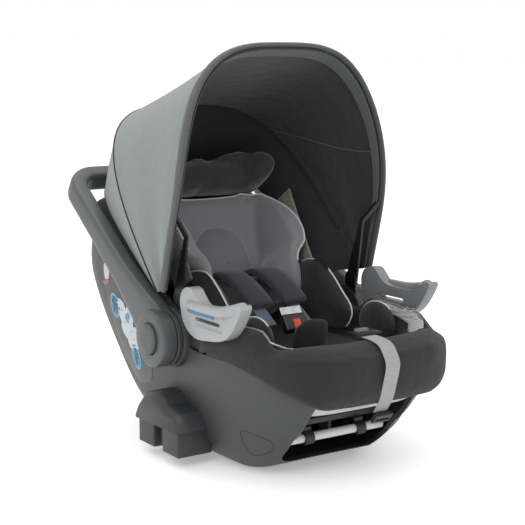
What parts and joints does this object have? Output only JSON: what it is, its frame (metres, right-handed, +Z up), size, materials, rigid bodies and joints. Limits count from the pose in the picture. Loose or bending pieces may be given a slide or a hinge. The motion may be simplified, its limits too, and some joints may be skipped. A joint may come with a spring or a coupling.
{
  "type": "infant car seat",
  "caption": "Rear-facing infant car seat with a rocker tub, swinging carry handle, folding hood, padded insert and three-point harness.",
  "frame": {"origin": "on the floor at the middle of the plan outline", "axes": "+Z up, -Y towards the front edge of the seat, +X to the seated child's left hand, along the handle hinge"},
  "size_m": [0.444, 0.689, 0.6568],
  "materials": {
    "shell_plastic": "moulded, fine spark grain",
    "handle_plastic": "moulded, soft satin",
    "grip_leather": "stitched leatherette",
    "black_plastic": "moulded",
    "silver_plastic": "satin silver",
    "blue_plastic": "satin",
    "red_plastic": "satin",
    "steel_bar": "powder coated",
    "bright_steel": "brushed",
    "hood_fabric": "melange weave",
    "hem_fabric": "bound edge",
    "cover_fabric": "black melange weave",
    "insert_fabric": "soft jersey",
    "dark_fabric": "brushed jersey",
    "webbing": "woven webbing",
    "mesh_fabric": "spacer mesh",
    "foam": "moulded foam beads",
    "rubber": "matte",
    "label_film": "printed film"
  },
  "bodies": {
    "seat": {"outer_shell": "shell_plastic", "floor_pads": "rubber", "base_bar_front": "steel_bar", "base_bar_rear": "steel_bar", "bar_clips": "black_plastic", "carrier_plate": "shell_plastic", "hub_housings": "shell_plastic", "pivot_pins": "bright_steel", "hood_rear_panel": "hood_fabric", "hood_rear_bow": "black_plastic", "hood_mounts": "shell_plastic", "foam_liner": "foam", "seat_cover": "cover_fabric", "belt_guide_left": "silver_plastic", "belt_guide_right": "silver_plastic", "guide_inlays": "blue_plastic", "adapter_left": "black_plastic", "adapter_right": "black_plastic", "side_labels": "label_film", "backrest_board": "black_plastic", "infant_insert": "insert_fabric", "back_pad": "insert_fabric", "side_bolster_left": "dark_fabric", "side_bolster_right": "dark_fabric", "hip_bolsters": "cover_fabric", "crotch_pad": "dark_fabric", "crotch_strap": "webbing", "shoulder_pads": "dark_fabric", "shoulder_straps": "webbing", "buckle_body": "black_plastic", "buckle_tongues": "bright_steel", "adjuster_strap": "webbing", "strap_keeper": "black_plastic", "adjuster_plate": "shell_plastic", "lever_axle": "bright_steel", "mesh_strips": "mesh_fabric", "shell_screws": "bright_steel"},
    "handle": {"handle_arch": "handle_plastic", "handle_grip": "grip_leather"},
    "button_left": {"handle_button_left": "handle_plastic"},
    "button_right": {"handle_button_right": "handle_plastic"},
    "hood": {"hood_bow": "black_plastic", "hood_hem": "hem_fabric", "hood_main_panel": "hood_fabric"},
    "headrest": {"headrest_plate": "black_plastic", "headrest_pad": "dark_fabric"},
    "red_button": {"buckle_button": "red_plastic"},
    "adjuster": {"adjuster_button": "silver_plastic"},
    "lever": {"release_lever": "red_plastic"}
  },
  "joints": [
    {"name": "handle_swing", "type": "hinge", "parent": "seat", "child": "handle", "pos_m": [0, -0.0075, 0.199], "axis": [1, 0, 0], "range_deg": [-60, 55], "deforming": ["hood_rear_panel", "hood_main_panel", "hood_hem", "hood_rear_bow"]},
    {"name": "handle_release_left", "type": "slide", "parent": "handle", "child": "button_left", "axis": [1, 0, 0], "range_m": [0, 0.004], "stiffness_N_per_m": 700},
    {"name": "handle_release_right", "type": "slide", "parent": "handle", "child": "button_right", "axis": [-1, 0, 0], "range_m": [0, 0.004], "stiffness_N_per_m": 700},
    {"name": "hood_fold", "type": "hinge", "parent": "seat", "child": "hood", "pos_m": [0, -0.0275, 0.262], "axis": [1, 0, 0], "range_deg": [-44, 0], "deforming": ["hood_main_panel", "hood_rear_panel", "hood_rear_bow", "hood_hem"]},
    {"name": "headrest_height", "type": "slide", "parent": "seat", "child": "headrest", "axis": [0, 0.5446, 0.8387], "range_m": [0, 0.06]},
    {"name": "buckle_press", "type": "slide", "parent": "seat", "child": "red_button", "axis": [0, 0.8387, -0.5446], "range_m": [0, 0.003], "stiffness_N_per_m": 900},
    {"name": "adjuster_press", "type": "slide", "parent": "seat", "child": "adjuster", "axis": [0, 0, -1], "range_m": [0, 0.002], "stiffness_N_per_m": 900},
    {"name": "base_release", "type": "hinge", "parent": "seat", "child": "lever", "pos_m": [0, 0.2065, 0.066], "axis": [1, 0, 0], "range_deg": [0, 20], "stiffness_Nm_per_rad": 1.2}
  ]
}
